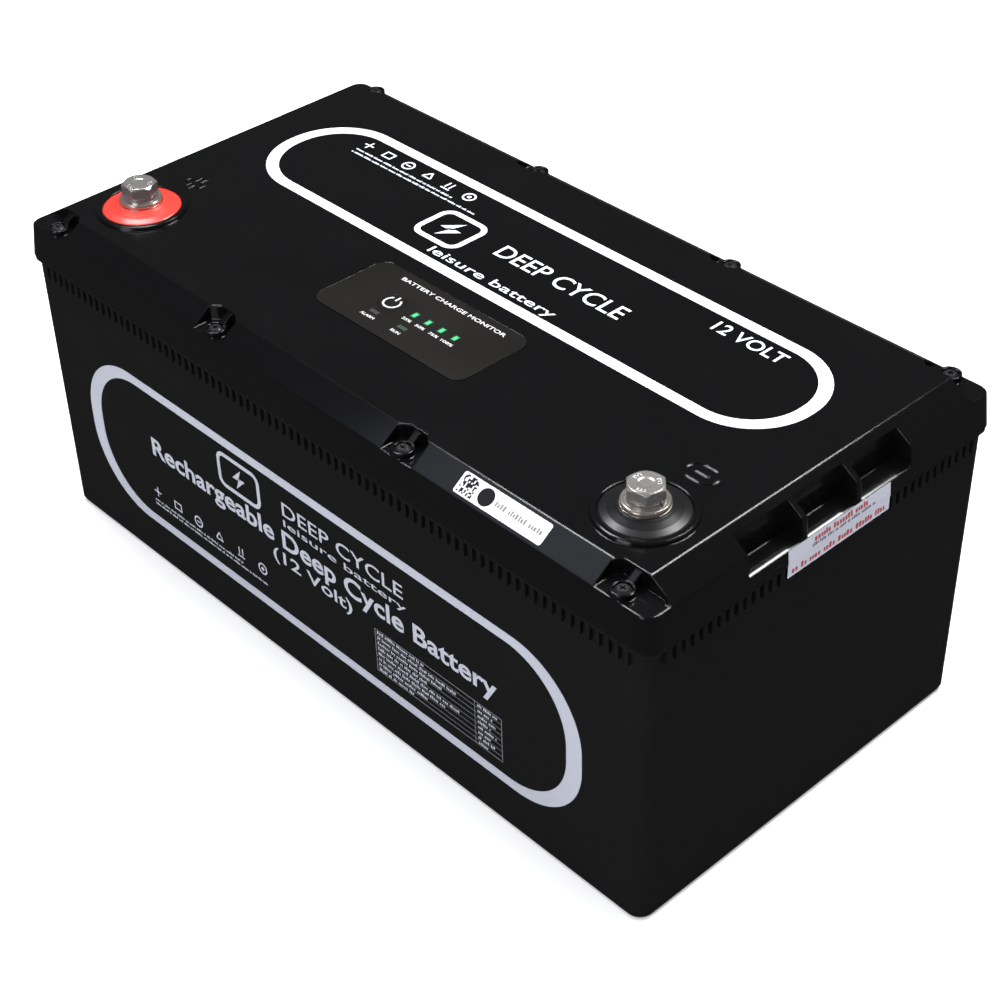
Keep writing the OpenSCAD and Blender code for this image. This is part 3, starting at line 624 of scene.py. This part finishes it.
# captions, and how far their tops stand below the middle of a lens
CAPTION_H = 2.2
CAPTION_WEIGHT = 0.2
LAMP_DROP = 4.2
SCALE_DROP = 5.2


def caption(name, words, mid_x, half, top):
    fit = (mid_x - half, mid_x + half, top - CAPTION_H, top)
    lettering(name, words, PANEL, fit, M["panelink"], CAPTION_WEIGHT)


def display():
    power = Print("power_sign", PANEL, M["panelink"], body="button", slot=PANEL_SLOT)
    power.arc(KEY_X, KEY_Y, r_in=4.5, r_out=5.7, start=-235, end=55, steps=36)
    power.rect(KEY_X - STEM_HALF, STEM_FOOT, KEY_X + STEM_HALF, STEM_TOP)
    power.make()
    lettering("display_caption", "BATTERY CHARGE MONITOR", PANEL, (-36, 49, -25.6, -22.6), M["panelink"],
              weight=0.15)
    for name, half in (("alarm", 5.5), ("run", 3.5)):
        lens = box_mm(name + "_light")[2]
        caption(name + "_caption", name.upper(), lens.x, half, lens.y - LAMP_DROP)
    lens_low, lens_high, lens_mid = box_mm("charge_level_lights")
    lens_pitch = (lens_high.x - lens_low.x - LENS_W) / (len(LEVELS) - 1)
    lens_xs = [lens_low.x + LENS_W / 2 + lens_pitch * k for k in range(len(LEVELS))]
    for level, x in zip(LEVELS, lens_xs):
        half = 3.6 if level < 100 else 4.6
        caption("charge_scale_%d" % level, "%d%%" % level, x, half, lens_mid.y - SCALE_DROP)
    cores = Print("lit_lens_cores", PANEL, M["ledglow"], slot="light_green")
    for x in lens_xs:
        cores.rect(x - CORE_HALF_W, lens_mid.y - CORE_HALF_H,
                   x + CORE_HALF_W, lens_mid.y + CORE_HALF_H, CORE_R)
    cores.make()


display()

# ---------------------------------------------------------------- code label and seal

# the square of random cells: cells a side, their size, its corner, the first draw, the dark share in %
CODE_CELLS = 11
CODE_CELL = 0.95
CODE_LEFT = -29.6
CODE_FOOT = -5.2
CODE_DRAW = 91
CODE_DARK = 52


def code_label():
    """The square of random cells, with a plain dot and a grey line beside it."""
    slot = "label_white"
    pattern = Print("code_label_pattern", BEVEL, M["labelink"], slot=slot)
    draw = CODE_DRAW
    for i in range(CODE_CELLS):
        for j in range(CODE_CELLS):
            draw = next_draw(draw)
            if (draw >> 12) % 100 < CODE_DARK:
                x, y = CODE_LEFT + i * CODE_CELL, CODE_FOOT + j * CODE_CELL
                pattern.rect(x, y, x + CODE_CELL, y + CODE_CELL)
    pattern.disc(cx=-11.5, cy=0, r=5.0, sides=32)
    pattern.make()
    line = Print("code_label_line", BEVEL, M["labelgrey"], slot=slot)
    line.words(-4.5, 29.5, y=-1.6, h=3.0, draw=53, stroke=0.5)
    line.make()


def seal():
    """Two lines of stand-in wording above the fold and one below it."""
    for name, base, ink, area, draw, stroke in (
            ("seal_upper_line", SEAL_UP, "sealred", (-20, 26, 3.1, 3.3), 23, 0.62),
            ("seal_middle_line", SEAL_UP, "sealdark", (-22, 28, 0.5, 1.9), 61, 0.55),
            ("seal_lower_line", SEAL_LOW, "sealred", (-37, 37, -2.4, 3.6), 43, 0.62)):
        line = Print(name, base, M[ink], slot="seal_film")
        line.words(*area, draw, stroke)
        line.make()


code_label()
seal()

# ---------------------------------------------------------------- bolt head marks

# radii are from the bolt's axis, and the pitch of the strokes is in degrees
MARK_THICK = 0.04
MARK_IN = 5.676
MARK_OUT = 7.788
MARK_STROKE = 0.75
MARK_PITCH = 17
RIM_IN = 7.2
RIM_OUT = 7.8
RIM_SPAN = 30
RIM_LEAD = 2


def head_marks(side, turn):
    """Three groups of short strokes in the place of raised letters, joined by thin arcs, in a lighter copy
    of the bolt steel that paints the highlight on the raised letters.
    """
    bolt = side + "_terminal_bolt"
    mid = box_mm(bolt)[2]
    # the strokes' tops are level with the head's, and a height taken from a rounded Vector turns them dark
    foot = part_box(bolt)[1][2] / MM - MARK_THICK
    c, s = math.cos(math.radians(turn)), math.sin(math.radians(turn))
    head = plane((mid.x, mid.y, foot), (c, s, 0), (-s, c, 0))
    marks = Print(side + "_bolt_head_marks", head, M["bright"], body=side + "_bolt", thick=MARK_THICK,
                  slot="stainless")
    for start in (20, 140, 260):
        for k in range(3):
            a = math.radians(start + MARK_PITCH * k)
            c, s = math.cos(a), math.sin(a)
            marks.line(MARK_IN * c, MARK_IN * s, MARK_OUT * c, MARK_OUT * s, MARK_STROKE)
        rim_start = start + RIM_LEAD
        marks.arc(0, 0, RIM_IN, RIM_OUT, rim_start, rim_start + RIM_SPAN, steps=8)
    marks.make()


head_marks("positive", -1)
head_marks("negative", 15)

# ---------------------------------------------------------------- studio

# places and sizes are in metres here
FLOOR_REACH = 9.0
FLOOR_COLOUR = (0.93, 0.93, 0.935, 1)
FLOOR_GLOW = 0.32
WORLD_LIGHT = 0.06
WHITE = (1, 1, 1)
COOL = (0.95, 0.97, 1.0)
BLUE = (0.80, 0.86, 1.0)


def floor():
    """A pale floor that gloss doesn't mirror, with a faint glow that keeps the shadow thin."""
    mesh = bpy.data.meshes.new("floor")
    corners = [(x * FLOOR_REACH, y * FLOOR_REACH, 0) for x, y in ((-1, -1), (1, -1), (1, 1), (-1, 1))]
    mesh.from_pydata(corners, [], [(0, 1, 2, 3)])
    finish = bpy.data.materials.new("pale floor")
    finish.use_nodes = True
    shader = finish.node_tree.nodes["Principled BSDF"]
    shader.inputs["Base Color"].default_value = FLOOR_COLOUR
    shader.inputs["Roughness"].default_value = 0.9
    shader.inputs["Specular IOR Level"].default_value = 0.1
    shader.inputs["Emission Color"].default_value = (1, 1, 1, 1)
    shader.inputs["Emission Strength"].default_value = FLOOR_GLOW
    mesh.materials.append(finish)
    ground = bpy.data.objects.new("floor", mesh)
    LINKED.link(ground)
    ground.visible_glossy = False


def softbox(name, at, aim, size, watts, tint=WHITE, mirrored=True):
    """A rectangular lamp; one that isn't mirrored lights the surfaces without showing in their gloss."""
    light = bpy.data.lights.new(name, "AREA")
    light.shape = "RECTANGLE"
    light.size, light.size_y = size
    light.energy = watts
    light.color = tint
    lamp = bpy.data.objects.new(name, light)
    lamp.location = at
    lamp.rotation_mode = "QUATERNION"
    lamp.rotation_quaternion = (Vector(aim) - Vector(at)).to_track_quat("-Z", "Y")
    lamp.visible_glossy = mirrored
    LINKED.link(lamp)


def studio():
    floor()
    softbox("end edge softbox", (0.232, 1.231, 2.205), aim=(0.24, -0.1, 0.2), size=(0.5, 0.8), watts=44)
    softbox("front edge softbox", (-1.117, 0.276, 2.188), aim=(0.2, -0.12, 0.2), size=(0.8, 0.5), watts=34,
            tint=COOL)
    softbox("bevel softbox", (-0.80, -0.97, 1.72), aim=(0.2, -0.1, 0.2), size=(0.65, 0.65), watts=1.15,
            tint=BLUE)
    softbox("front fill", (0.3, -2.7, 1.3), aim=(0, -0.1, 0.1), size=(1.2, 1.0), watts=29, tint=COOL)
    softbox("high fill", (0.4, -0.3, 3.2), aim=(0, 0, 0), size=(2.5, 2.5), watts=90, mirrored=False)
    world = bpy.data.worlds.new("studio")
    world.use_nodes = True
    background = world.node_tree.nodes["Background"]
    background.inputs["Color"].default_value = (1, 1, 1, 1)
    background.inputs["Strength"].default_value = WORLD_LIGHT
    bpy.context.scene.world = world


studio()

# ---------------------------------------------------------------- camera

# the aim and the distance are in mm, and the azimuth is measured from +X
AZIMUTH = math.radians(-42.58)
ELEVATION = math.radians(35.15)
ROLL = math.radians(-1.37)
AIM = Vector((8.8, 7.5, 141.9))
DISTANCE = 1243.8
LENS = 76.2
SENSOR = 36
SHIFT_Y = -0.1
CLIP_NEAR = 0.05
CLIP_FAR = 60


def camera():
    """A camera that looks down on the near corner between the front and the right end."""
    level = math.cos(ELEVATION)
    back = Vector((level * math.cos(AZIMUTH), level * math.sin(AZIMUTH), math.sin(ELEVATION)))
    right = Vector((-math.sin(AZIMUTH), math.cos(AZIMUTH), 0))
    up = back.cross(right)
    rolled_right = right * math.cos(ROLL) + up * math.sin(ROLL)
    rolled_up = up * math.cos(ROLL) - right * math.sin(ROLL)
    cam = bpy.data.objects.new("camera", bpy.data.cameras.new("camera"))
    cam.location = (AIM + back * DISTANCE) * MM
    cam.rotation_mode = "QUATERNION"
    cam.rotation_quaternion = Matrix((rolled_right, rolled_up, back)).transposed().to_quaternion()
    cam.data.lens = LENS
    cam.data.sensor_width = SENSOR
    cam.data.shift_y = SHIFT_Y
    cam.data.clip_start = CLIP_NEAR
    cam.data.clip_end = CLIP_FAR
    LINKED.link(cam)
    bpy.context.scene.camera = cam
    bpy.context.scene.view_settings.view_transform = "Standard"


camera()
